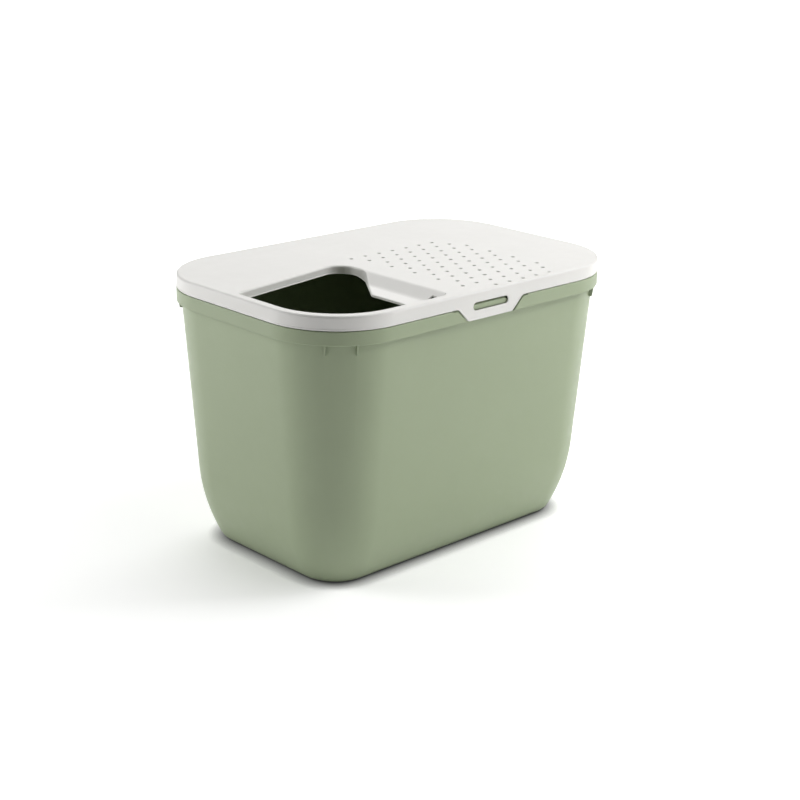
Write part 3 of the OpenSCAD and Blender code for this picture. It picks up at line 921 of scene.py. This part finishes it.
def add_stacking_ribs(s, obj):
    """Joins the stacking ribs to the tub by Geometry Nodes"""
    tub = s.tub
    low, top = s.band - tub.rib_drop, s.band_top - tub.wall / 2
    root, out = s.wall_in + OVERLAP, s.lid.corner_radius - tub.wall / 2
    root_low = root - tub.rib_drop * s.lean
    points = [(root_low, low), (root_low + tub.rib_drop * s.lean, s.band), (root, top)]
    points += [(out, top), (out, s.band), (s.wall_out + RIB_REACH, low)]
    rib = solid("rib", points, -tub.rib_wall / 2, tub.rib_wall / 2, along_y)
    tree, sockets = stacking_ribs_tree()
    values = {"Path X": s.path_x, "Path Y": s.path_y, "End Angle": tub.rib_end, "Side Angle": tub.rib_side}
    apply_tree(obj, tree, sockets, {**values, "Rib": rib, "Material": tub_plastic(s)})
    bpy.data.objects.remove(rib)


# Lid


def ease(value):
    """Smooth step from 0 to 1"""
    t = max(0.0, min(1.0, value))
    return t * t * (3 - 2 * t)


def ramp_height(s, x):
    """Height of the ramp's upper face, rounded at its crest and at its foot"""
    entry = s.entry
    slope = entry.collar_depth / entry.ramp_width
    u, v = x - s.x1, x - s.ramp_x
    if u >= entry.crest:
        return s.top
    if u > -entry.crest:
        return s.top - slope * (entry.crest - u) ** 2 / (4 * entry.crest)
    if v >= entry.foot:
        return s.collar + slope * v
    if v > -entry.foot:
        return s.collar + slope * (v + entry.foot) ** 2 / (4 * entry.foot)
    return s.collar


def opening_stations(s):
    """Stations round the free edge of the opening, from the corner where the shelf meets the front"""
    entry = s.entry
    points = [(s.shelf_x, s.y0), (s.shelf_x, s.shelf_y), (s.x1, s.neck_y), (s.x1, s.y1)]
    points += [(s.x0, s.y1 - entry.slant), (s.x0, s.y0)]
    radii = [SHELF_CORNER, entry.shelf_radius, entry.neck_radius, entry.inner_radius, entry.outer_radius]
    radii.append(s.lid.corner_radius - entry.rim_land)
    return outline([Vector(p) for p in points], radii, spacing=ENTRY_SPACING, steps=CORNER_STEPS)


class Face:
    """One side of the lid's plate round the entry: its level, and the steps of its wall down to the shelf"""

    def __init__(self, s, level, start, radius, fillet):
        self.s, self.level, self.offset = s, level, -start
        depth = s.entry.collar_depth
        steps = [math.pi / 2 * i / WALL_STEPS for i in range(WALL_STEPS + 1)]
        self.steps = [(start + radius * math.sin(t), radius * (1 - math.cos(t)) / depth) for t in steps]
        low = start + radius + WALL_DRAFT
        self.steps += [
            (low + fillet * (1 - math.cos(t)), (depth - fillet + fillet * math.sin(t)) / depth) for t in steps
        ]
        self.centre = Vector((s.x1 - s.entry.ramp_radius, s.y0 + s.entry.ramp_radius))

    def share(self, distance):
        """How much of the drop lies behind a point this far inside the entry's front edge"""
        if distance <= self.steps[0][0]:
            return 0.0
        for (d0, w0), (d1, w1) in zip(self.steps, self.steps[1:]):
            if distance <= d1:
                return w0 + (w1 - w0) * (distance - d0) / (d1 - d0)
        return 1.0

    def height(self, x, y):
        """Height of this side of the plate"""
        s, r = self.s, self.s.entry.ramp_radius
        if x <= self.centre.x:
            part = self.share(y - s.y0)
        elif y < self.centre.y:
            arm = Vector((x, y)) - self.centre
            fade = ease(math.atan2(arm.y, arm.x) / FADE_ANGLE + 1)
            part = self.share(r - arm.length) * (1 - fade) + fade
        else:
            part = 1.0
        return self.level - (s.top - ramp_height(s, x)) * part

    def at(self, station, offset=None):
        """A station's point in plan at this side's distance from the edge"""
        return station[0] + station[1] * (self.offset if offset is None else offset)

    def station_height(self, station, offset=None):
        """Height at a station: the plate's level away from the shelf"""
        p = self.at(station, offset)
        return self.height(p.x, p.y) if station[2] <= 2 else self.level


def inside(polygon, p):
    """Whether a point lies inside a polygon"""
    found = False
    for a, b in zip(polygon, polygon[1:] + polygon[:1]):
        if (a.y > p.y) != (b.y > p.y) and p.x < a.x + (p.y - a.y) * (b.x - a.x) / (b.y - a.y):
            found = not found
    return found


def near(points, p, distance):
    """Whether a point lies near a line of points"""
    for a, b in zip(points, points[1:]):
        foot, share = geometry.intersect_point_line(p, a, b)
        if (foot - p).length < distance and -0.05 <= share <= 1.05:
            return True
    return False


def plate_side(bm, s, face, stations, outer):
    """One side of the plate: the flat part, and the ramp and shelf with the wall at their front"""
    front_steps, side_steps = 5, 8
    corner_room, rim_room, wall_room, shortest = 0.0008, 0.0002, 0.0003, 0.001
    free = [t for t in stations if t[2] <= 2]
    rest = [t for t in stations if t[2] > 2]
    rim = [face.at(t) for t in free]
    lines = [t for t in free if t[2] >= 1]
    # Stations of the entry's front edge, one at each line of the ramp, and of its corner with the ramp
    first = face.at(free[0]).x
    xs = sorted({round(face.at(t).x, 8) for t in lines if face.at(t).x < face.centre.x - corner_room})
    start = xs[0]
    xs = [first + (start - first) * k / front_steps for k in range(1, front_steps)] + xs
    edge = [(Vector((x, s.y0)), Vector((0, -1)), 0) for x in xs]
    for k in range(ROUND_STEPS + 1):
        a = math.pi / 2 * (k / ROUND_STEPS - 1)
        n = Vector((math.cos(a), math.sin(a)))
        edge.append((face.centre + n * s.entry.ramp_radius, n, 1))
    end_y = face.at(free[-1]).y
    for k in range(1, side_steps):
        y = face.centre.y + (end_y - face.centre.y) * k / side_steps
        edge.append((Vector((s.x1, y)), Vector((1, 0)), 2))
    border = rim + [face.at(t) for t in reversed(edge)]
    verts = list(border)
    edges = [(i, (i + 1) % len(border)) for i in range(len(border))]
    cornered = [t for t in edge if t[2] < 2]
    for distance, _ in face.steps[1:]:
        previous = None
        for t in cornered:
            p = face.at(t, -distance)
            if not inside(border, p) or near(rim, p, rim_room):
                previous = None
                continue
            verts.append(p)
            if previous is not None:
                edges.append((previous, len(verts) - 1))
            previous = len(verts) - 1
    last = face.steps[-1][0]
    for i, t in enumerate(free):
        x = rim[i].x
        if t[2] < 1 or x > s.x1 + face.offset - wall_room:
            continue
        if x < face.centre.x:
            foot = s.y0 + last
        else:
            room = (s.entry.ramp_radius - last) ** 2 - (x - face.centre.x) ** 2
            foot = face.centre.y - (math.sqrt(room) if room > 0 else 0) + wall_room
        p = Vector((x, foot))
        if rim[i].y - foot < shortest:
            continue
        known = [k for k in range(len(border), len(verts)) if (verts[k] - p).length < MERGE]
        if not known:
            verts.append(p)
            known = [len(verts) - 1]
        edges.append((i, known[0]))
    found, _, triangles, _, _, _ = geometry.delaunay_2d_cdt([1000 * v for v in verts], edges, [], 0, 1e-6)
    found = [v / 1000 for v in found]
    made = [bm.verts.new((v.x, v.y, face.height(v.x, v.y))) for v in found]
    for vert in made[len(rim) : len(border)]:
        vert.co.z = face.level
    for tri in triangles:
        if inside(border, sum((found[i] for i in tri), Vector((0, 0))) / 3):
            bm.faces.new([made[i] for i in tri])
    hole = [free[0], *edge, free[-1], *rest]
    flat_ring = [(*(c + d * s.flat_r), face.level) for c, d in outer]
    fill(bm, [flat_ring, [(*face.at(t), face.level) for t in hole]])


def edge_drop(s, station):
    """How far the collar's lower edge lies below its usual height: all the lip's height along the shelf"""
    point, normal, tag = station
    lip = s.entry.lip_height
    if tag < 2:
        return lip
    if point.x < s.shelf_x and normal.y < -0.9:
        return lip * ease((point.x - s.shelf_x + FRONT_FADE[0]) / FRONT_FADE[1])
    if tag <= 2.5:
        return lip * (1 - ease((point.y - s.neck_y + NECK_FADE[0]) / NECK_FADE[1]))
    return 0.0


def rim_section(s, station, upper, under):
    """Section of the rim and collar at one station: rounding, wall, beaded edge, back face and fillet"""
    entry = s.entry
    radius, wall = entry.rim_radius, entry.collar_wall
    top = upper.station_height(station)
    probe, lower, upper_edge = 0.0005, 0.0002, 0.0007
    fall = math.atan2(upper.station_height(station, upper.offset + probe) - top, probe)
    fall = max(0.0, min(FADE_ANGLE, fall))
    bend = radius / (1 - math.sin(fall))
    turns = [fall + (math.pi / 2 - fall) * i / FILLET_STEPS for i in range(FILLET_STEPS + 1)]
    drop = edge_drop(s, station)
    low = s.collar - drop
    tall = 1 - (1 - entry.lip_squeeze) * drop / entry.lip_height
    section = [
        (radius - bend * (math.sin(t) - math.sin(fall)), top - tall * bend * (math.cos(fall) - math.cos(t)))
        for t in turns
    ]
    section += [(out / 1000, low + tall * up / 1000) for out, up in RIM_BEAD]
    section += [(wall - upper_edge, low), (wall - lower, low + tall * lower), (wall, low + tall * upper_edge)]
    under_z = under.station_height(station)
    fillet = under.offset - wall
    section += [
        (wall + fillet * (1 - math.cos(t)), under_z - tall * fillet * (1 - math.sin(t)))
        for t in (0, 0.4, 0.8, 1.2, math.pi / 2)
    ]
    return [(*(station[0] + station[1] * offset), z) for offset, z in section]


def bead_section(s):
    """Lower edge of the skirt and of the latch tab: distance inside the edge, and radius or depth"""
    face, outer, back = s.face_r, s.lid.corner_radius, s.skirt_in
    return [
        (s.lid.bead_height, face),
        (0.0026, face + 0.12 * s.lid.bead_depth),
        (0.0021, face + 0.6 * s.lid.bead_depth),
        (0.0016, face + 0.95 * s.lid.bead_depth),
        (0.0011, outer),
        (0.0006, outer - 0.0001),
        (0.00018, outer - 0.0004),
        (0, outer - 0.0009),
        (0, back + 0.0006),
        (0.00018, back + 0.0002),
        (0.0006, back),
    ]


def build_lid(s):
    """The lid's moulding without its litter holes"""
    lid, entry, hinge = s.lid, s.entry, s.hinge
    outer = plan_stations(s)
    section = list(reversed(arc((s.flat_r, s.top - lid.edge_radius), lid.edge_radius, 0, 90)))
    section += [(r, s.skirt + up) for up, r in bead_section(s)]
    section += arc((s.skirt_in - lid.fillet, s.plate_under - lid.fillet), lid.fillet, 0, 90, 4)
    section.append((s.flat_r, s.plate_under))
    upper = Face(s, s.top, -entry.rim_radius, entry.rim_radius, SHELF_FILLET)
    under = Face(s, s.plate_under, -(entry.collar_wall + COLLAR_FILLET), COLLAR_FILLET, UNDER_FILLET)
    opening = opening_stations(s)
    bm = bmesh.new()
    loft(bm, [[(*(c + d * r), z) for r, z in section] for c, d in outer])
    loft(bm, [rim_section(s, t, upper, under) for t in opening])
    plate_side(bm, s, upper, opening, outer)
    plate_side(bm, s, under, opening, outer)
    obj = shown("lid_moulding", finish_mesh(bm, "lid_moulding"))
    room = rectangle(-s.tab_half, s.tab_half, s.skirt - PAST, s.bend)
    cut = solid("room", room, s.front_y - OVERLAP, s.front_y + lid.wall + ROOM_EXTRA, along_y)
    hole_x, hole_y = s.ramp_x + entry.ramp_width * HOLE_SHARE, s.y0 + entry.hole_margin
    half = entry.hole_width / 2
    points = rectangle(hole_x - half, hole_x + half, hole_y, hole_y + entry.hole_length)
    hole = [tuple(p) for p, _, _ in outline([Vector(p) for p in points], [HOLE_CORNER] * 4, steps=4)]
    parts = [("DIFFERENCE", cut)]
    parts.append(("DIFFERENCE", solid("scoop_hole", hole, s.lip - PAST, s.top + OVERLAP, along_z)))
    half = hinge.knuckle_width / 2
    for x in (-hinge.offset, hinge.offset):
        made = solid("knuckle", knuckle_outline(s), x - half, x + half, along_x, KNUCKLE_BEVEL)
        parts.append(("UNION", made))
    combine(obj, parts)
    return obj


def knuckle_outline(s):
    """Side view of a knuckle: an arm from the skirt and a ring that is open towards the tub's wall"""
    inset, arm_top = 0.0002, s.skirt + 0.0015
    centre = (s.hinge_y, s.hinge_z)
    bore = s.hinge.pin_radius + s.hinge.pin_clearance
    arm_out = s.path_y + s.lid.corner_radius - inset
    arm_in = s.path_y + s.skirt_in
    outer_turn = math.degrees(math.acos((arm_out - s.hinge_y) / s.knuckle_r))
    inner_turn = math.degrees(math.acos((arm_in - s.hinge_y) / s.knuckle_r))
    mouth = math.degrees(s.hinge.mouth) - 180
    points = [(arm_out, arm_top)]
    points += arc(centre, s.knuckle_r, outer_turn, mouth, 24)
    points += arc(centre, bore, mouth, 180, 28)
    points += arc(centre, s.knuckle_r, 180, inner_turn, 12)
    points.append((arm_in, arm_top))
    return list(reversed(points))


def cut_litter_holes(s, obj):
    """Cuts the litter holes by Geometry Nodes"""
    deck = s.deck
    tree, sockets = litter_holes_tree()
    values = {
        "Hole Radius": deck.hole / 2,
        "Chamfer": deck.chamfer,
        "Pitch": deck.pitch,
        "Start X": s.x1 + deck.margin + deck.columns * deck.pitch,
        "Front Y": s.front_y + deck.front,
        "Top": s.top,
        "Depth": HOLE_DEPTH,
        "Rows": deck.rows,
        "Columns": deck.columns,
        "Material": lid_plastic(s),
    }
    apply_tree(obj, tree, sockets, values)


# Latch tab


def build_latch_tab(s):
    """The latch tab: beaded edge, slot with rounded edges, and the flat faces between them"""
    latch = s.latch
    points, radii = tab_outline(s)
    path = outline(points[1:-1], radii[1:-1], spacing=TAB_SPACING, steps=CORNER_STEPS, closed=False)
    bead = bead_section(s)
    sections = [[(p.x - n.x * d, -(s.path_y + r), p.y - n.y * d) for d, r in bead] for p, n, _ in path]
    front, back = -(s.path_y + s.face_r), -(s.path_y + s.skirt_in)
    half = s.tab_half
    bm = bmesh.new()
    loft(bm, sections, around=False)
    straight = (latch.slot_width - latch.slot_height) / 2
    slot = []
    for side in (1, -1):
        for k in range(ROUND_STEPS + 1):
            a = math.radians(90 * (2 * k / ROUND_STEPS - side))
            n = Vector((math.cos(a), math.sin(a)))
            slot.append((Vector((side * straight, s.slot_z)) + n * latch.slot_height / 2, n))
    slot_section = [(0.0009, front), (0.00045, front + 0.00008), (0.00014, front + 0.0003)]
    slot_section += [(0, front + 0.0007), (0, back - 0.0005), (0.00015, back - 0.00015), (0.0005, back)]
    loft(bm, [[(p.x + n.x * d, y, p.y + n.y * d) for d, y in slot_section] for p, n in slot])
    for index, y in ((0, front), (-1, back)):
        loop = [(-half, y, s.bend), *[section[index] for section in sections], (half, y, s.bend)]
        offset = slot_section[index][0]
        fill(bm, [loop, [(p.x + n.x * offset, y, p.y + n.y * offset) for p, n in slot]])
    for side, section in ((-1, sections[0]), (1, sections[-1])):
        fill(bm, [[(side * half, front, s.bend), *section, (side * half, back, s.bend)]])
    fill(bm, [[(-half, front, s.bend), (half, front, s.bend), (half, back, s.bend), (-half, back, s.bend)]])
    return shown("latch_tab_moulding", finish_mesh(bm, "latch_tab_moulding"))


# Stage


def around(azimuth, elevation, distance, centre=(0, 0, 0)):
    """A place seen from the centre at the two angles, azimuth 0 being in front of the box"""
    level = distance * math.cos(elevation)
    return Vector(centre) + Vector(
        (level * math.sin(azimuth), -level * math.cos(azimuth), distance * math.sin(elevation))
    )


def softbox(name, power, size, place, aim):
    """A soft area light of one size, turned to its aim"""
    light = bpy.data.lights.new(name, "AREA")
    light.shape = "RECTANGLE"
    light.size, light.size_y = size
    light.energy = power
    obj = bpy.data.objects.new(name, light)
    obj.location = place
    obj.rotation_euler = (Vector(aim) - place).to_track_quat("-Z", "Y").to_euler()
    obj.visible_camera = False
    bpy.context.scene.collection.objects.link(obj)


def build_sky(strength):
    """Surroundings that look white and give little light"""
    world = bpy.data.worlds.new("studio")
    world.use_nodes = True
    tree = world.node_tree
    seen = shader_node(tree, "LightPath").outputs["Is Camera Ray"]
    background = tree.nodes["Background"]
    background.inputs["Color"].default_value = (1, 1, 1, 1)
    wire(tree, calculate(tree, "MAXIMUM", seen, strength), background.inputs["Strength"])
    bpy.context.scene.world = world


def build_floor(stage):
    """Pale paper lit from below, with a narrow contact shadow painted into its colour and glow, that fades to
    plain white far from the box
    """

    def paper(tree):
        # Ambient occlusion darkens the paper's colour and glow near the box: a painted contact shadow
        inputs = {"Distance": stage.contact, "Color": (*stage.floor_colour, 1)}
        contact = shader_node(tree, "AmbientOcclusion", inputs).outputs["Color"]
        place = shader_node(tree, "TexCoord").outputs["Object"]
        away = shader_node(tree, "VectorMath", {0: place}, operation="LENGTH").outputs["Value"]
        rise = {"Value": away, "From Min": stage.fade_start, "From Max": stage.fade_end}
        rise["To Max"] = shader_node(tree, "LightPath").outputs["Is Camera Ray"]
        white = shader_node(tree, "MapRange", rise).outputs["Result"]
        return {
            "Base Color": contact,
            "Emission Color": contact,
            "Emission Strength": calculate(tree, "ADD", white, stage.floor_glow),
            "Roughness": PAPER_ROUGHNESS,
            "Specular IOR Level": PAPER_GLOSS,
        }

    half = stage.floor_size / 2
    bm = bmesh.new()
    bm.faces.new([bm.verts.new((x, y, 0)) for x, y in rectangle(-half, half, -half, half)])
    mesh = bpy.data.meshes.new("floor")
    bm.to_mesh(mesh)
    bm.free()
    floor = shown("floor", mesh)
    floor.data.materials.append(new_material("floor_paper", paper))


def build_camera(s):
    """The camera at the photograph's angle, aimed at the box's middle with the photograph's framing"""
    stage = s.stage
    back = around(stage.azimuth, stage.elevation, 1)
    right = (-back).cross(Vector((0, 0, 1))).normalized()
    up = right.cross(-back)
    cosine, sine = math.cos(stage.roll), math.sin(stage.roll)
    right, up = right * cosine + up * sine, up * cosine - right * sine
    aim = Vector((0, s.mid_y, stage.aim_height)) + right * stage.aim_right - up * stage.aim_down
    camera = bpy.data.objects.new("camera", bpy.data.cameras.new("camera"))
    camera.data.lens = stage.lens
    camera.data.sensor_width = 36
    camera.data.clip_end = 100
    turn = Matrix((right, up, back)).transposed().to_4x4()
    camera.matrix_world = Matrix.Translation(aim + back * stage.distance) @ turn
    bpy.context.scene.collection.objects.link(camera)
    bpy.context.scene.camera = camera


def build_stage(s):
    """Pale floor, white surroundings, soft lights and the camera"""
    stage = s.stage
    build_floor(stage)
    build_sky(stage.sky)
    for key, (turn, height, away, wide, tall) in SOFTBOXES.items():
        place = around(math.radians(turn), math.radians(height), away, LIGHT_AIM)
        softbox(f"{key}_softbox", getattr(stage, key), (wide, tall), place, LIGHT_AIM)
    for key, (side, away, height) in FLOOR_LIGHTS.items():
        place = around(stage.azimuth + math.pi, 0, away) + Vector((0, 0, height))
        softbox(f"{key}_softbox", getattr(stage, key), (side, side), place, place - Vector((0, 0, 1)))
    bpy.context.scene.view_settings.view_transform = "Standard"
    build_camera(s)


def place_in_frame(s, obj):
    """Moves the mesh from the lid's middle to its place in the frame"""
    obj.data.transform(Matrix.Translation((0, s.mid_y, 0)))


class LITTERBOX_OT_tub(bpy.types.Operator):
    """Builds the tub with its band, catch, hinge pins and stacking ribs"""

    bl_idname = "litterbox.tub"
    bl_label = "Tub"

    def execute(self, context):
        s = sizes(context.scene)
        obj = build_tub(s)
        add_stacking_ribs(s, obj)
        place_in_frame(s, obj)
        finish_piece(obj, "tub", tub_plastic(s), "tub")
        return {"FINISHED"}


class LITTERBOX_OT_lid(bpy.types.Operator):
    """Builds the lid with its entry, scoop shelf, hinge knuckles and litter holes"""

    bl_idname = "litterbox.lid"
    bl_label = "Lid"

    def execute(self, context):
        s = sizes(context.scene)
        obj = build_lid(s)
        cut_litter_holes(s, obj)
        place_in_frame(s, obj)
        finish_piece(obj, "lid", lid_plastic(s), "lid")
        return {"FINISHED"}


class LITTERBOX_OT_latch_tab(bpy.types.Operator):
    """Builds the latch tab with its slot and beaded edge"""

    bl_idname = "litterbox.latch_tab"
    bl_label = "Latch Tab"

    def execute(self, context):
        s = sizes(context.scene)
        obj = build_latch_tab(s)
        place_in_frame(s, obj)
        finish_piece(obj, "latch", lid_plastic(s), "latch_tab")
        return {"FINISHED"}


class LITTERBOX_OT_stage(bpy.types.Operator):
    """Builds the pale floor, the soft lights and the camera"""

    bl_idname = "litterbox.stage"
    bl_label = "Stage"

    def execute(self, context):
        build_stage(sizes(context.scene))
        return {"FINISHED"}


class LITTERBOX_PT_panel(bpy.types.Panel):
    """Lists the sizes and the pieces"""

    bl_idname = "LITTERBOX_PT_panel"
    bl_label = "Litter Box"
    bl_space_type = "VIEW_3D"
    bl_region_type = "UI"
    bl_category = "Litter Box"

    def draw(self, context):
        for operator in OPERATORS:
            self.layout.operator(operator.bl_idname)
        for name, group in GROUPS:
            box = self.layout.box()
            box.label(text=group.__doc__)
            for key in group.__annotations__:
                box.prop(getattr(context.scene, name), key)


OPERATORS = (LITTERBOX_OT_tub, LITTERBOX_OT_lid, LITTERBOX_OT_latch_tab, LITTERBOX_OT_stage)
CLASSES = (*[group for _, group in GROUPS], *OPERATORS, LITTERBOX_PT_panel)


def register():
    """Registers the classes and adds the groups of sizes to the scene"""
    for cls in CLASSES:
        bpy.utils.register_class(cls)
    for name, group in GROUPS:
        setattr(bpy.types.Scene, name, bpy.props.PointerProperty(type=group))


def unregister():
    """Takes back what register adds"""
    for name, _ in GROUPS:
        delattr(bpy.types.Scene, name)
    for cls in reversed(CLASSES):
        bpy.utils.unregister_class(cls)


def main():
    """Registers the add-on, and builds every piece and the stage"""
    register()
    bpy.ops.litterbox.tub()
    bpy.ops.litterbox.lid()
    bpy.ops.litterbox.latch_tab()
    bpy.ops.litterbox.stage()


if __name__ == "__main__":
    main()
